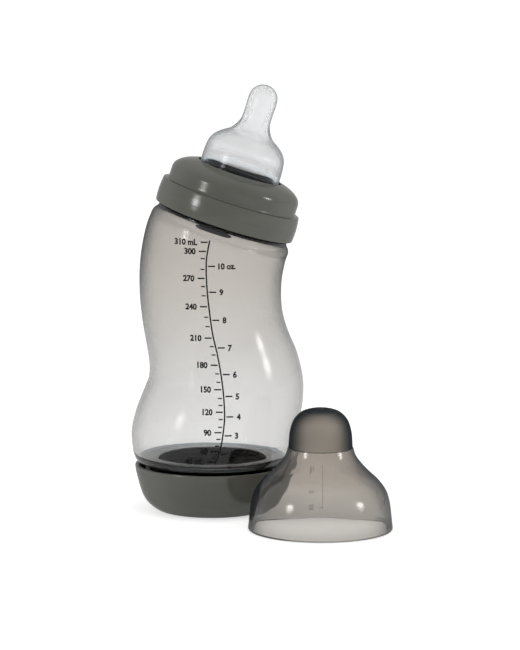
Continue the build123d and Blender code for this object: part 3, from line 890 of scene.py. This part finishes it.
# faint raised marks on the far side of the cap, which read from behind
capMarks = {
    # height of each figure on the cap, its words and how tall it is made there, where the wall slopes
    "figures": [(19.4, "10", 0.55), (10.6, "20", 2.6), (3.6, "30", 1.9)],
    "column": 41.1, "line": 45.9, "lineFoot": 2.6, "lineTop": 20.6, "ticks": 1.7, "width": 0.24,
    "figureHeight": 1.9, "narrow": 0.85, "low": -0.02, "high": 0.05,
}
lineX, barWidth = capMarks["line"], capMarks["width"]
shapes = [bar((lineX, capMarks["lineFoot"]), (lineX, capMarks["lineTop"]), barWidth, pieces=24)]
figureSize = capMarks["figureHeight"] / fontShape["capHeight"]
for z, words, tall in capMarks["figures"]:
    corners, faces = placed(glyphs(words), 0, 0, figureSize, capMarks["narrow"], "middle")
    stretch = tall / capMarks["figureHeight"]
    shapes.append(([(capMarks["column"] - x, z + up * stretch) for x, up in corners], faces))
    shapes.append(bar((lineX - capMarks["ticks"], z), (lineX, z), barWidth, pieces=3))
marksMesh = onSurface("capMarks", shapes, surfaceOf(capMesh), capMarks["low"], capMarks["high"], -1)
newPiece("capMarks", marksMesh, "cap", faintMark)
print("cap marks made")


# plain pale floor and white surroundings
def whereSeen(start):
    # 1 for the rays that show the surroundings themselves, in view, in gloss and through glass
    kinds = ("Camera", "Glossy", "Transmission")
    rays = [start.node("ShaderNodeLightPath", output=f"Is {kind} Ray") for kind in kinds]
    return (rays[0] + rays[1] + rays[2]).between(0.0, 0.5)


def glowing(start, kind, strength):
    return start.node(kind, {}, {"Color": grey(1.0), "Strength": strength})


floorLook = {"size": 14.0, "drop": 0.2, "colour": grey(0.82), "glow": 0.62}
floorMesh = bpy.data.meshes.new("floor")
half = floorLook["size"] / 2
corners = [(-half, -half, 0), (half, -half, 0), (half, half, 0), (-half, half, 0)]
floorMesh.from_pydata(corners, [], [(0, 1, 2, 3)])
floor = bpy.data.objects.new("floor", floorMesh)
floor.location.z = -floorLook["drop"] * mm
bpy.context.scene.collection.objects.link(floor)
floorMaterial, start = newMaterial("paleFloor")
plain = start.node("ShaderNodeBsdfDiffuse", {}, {"Color": floorLook["colour"]})
glow = glowing(start, "ShaderNodeEmission", floorLook["glow"])
both = start.node("ShaderNodeAddShader", {}, {0: plain, 1: glow})
finishMaterial(start, mixed(start, whereSeen(start), plain, both))
floorMesh.materials.append(floorMaterial)

worldLook = {"lighting": 0.53, "showing": 1.0}
surroundings = bpy.data.worlds.new("surroundings")
bpy.context.scene.world = surroundings
surroundings.use_nodes = True
surroundings.node_tree.nodes.clear()
start = Signal(surroundings.node_tree)
lighting = glowing(start, "ShaderNodeBackground", worldLook["lighting"])
showing = glowing(start, "ShaderNodeBackground", worldLook["showing"])
worldOut = surroundings.node_tree.nodes.new("ShaderNodeOutputWorld")
seen = mixed(start, whereSeen(start), lighting, showing)
surroundings.node_tree.links.new(seen.socket, worldOut.inputs["Surface"])

# two upright soft boxes and one above; each is made of nested panels, brighter towards the middle
softBoxes = [
    {"name": "leftBox", "from": (-0.80, -0.60, 0.30), "away": 1.5, "size": (0.44, 0.56), "power": 3.6},
    {"name": "rightBox", "from": (0.95, -0.31, 0.30), "away": 1.5, "size": (0.44, 0.56), "power": 3.9},
    {"name": "topBox", "from": (0.05, -0.25, 1.0), "away": 1.6, "size": (0.9, 0.9), "power": 3.0,
     "hidden": True},
]
panels = [(1.0, 0.34), (0.8, 0.27), (0.6, 0.22), (0.4, 0.17)]   # share of the size and of the power
panelStep = 0.002
aim = Vector((12.0, -15.0, 75.0)) * mm
for box in softBoxes:
    for number, (sizeShare, powerShare) in enumerate(panels):
        lamp = bpy.data.lights.new(f"{box['name']}{number}", "AREA")
        lamp.shape = "ELLIPSE"
        lamp.size, lamp.size_y = (side * sizeShare for side in box["size"])
        lamp.energy = box["power"] * powerShare
        made = bpy.data.objects.new(lamp.name, lamp)
        made.location = aim + Vector(box["from"]).normalized() * (box["away"] - panelStep * number)
        made.rotation_euler = (aim - made.location).to_track_quat("-Z", "Y").to_euler()
        bpy.context.scene.collection.objects.link(made)
        made.visible_glossy = made.visible_transmission = not box.get("hidden")

view = {
    "target": (12.0, -15.0, 85.0), "from": (26.68, -1697.56, 327.47), "lens": 228.98,
    "shift": (0.0295, -0.0202), "sensor": 36.0, "clipEnd": 30.0,
}
cameraData = bpy.data.cameras.new("camera")
cameraData.lens = view["lens"]
cameraData.sensor_width = view["sensor"]
cameraData.shift_x, cameraData.shift_y = view["shift"]
cameraData.clip_end = view["clipEnd"]
camera = bpy.data.objects.new("camera", cameraData)
camera.location = Vector(view["from"]) * mm
camera.rotation_euler = (Vector(view["target"]) * mm - camera.location).to_track_quat("-Z", "Y").to_euler()
bpy.context.scene.collection.objects.link(camera)
bpy.context.scene.camera = camera
bpy.context.scene.view_settings.view_transform = "Standard"
print("floor, lights and camera set")
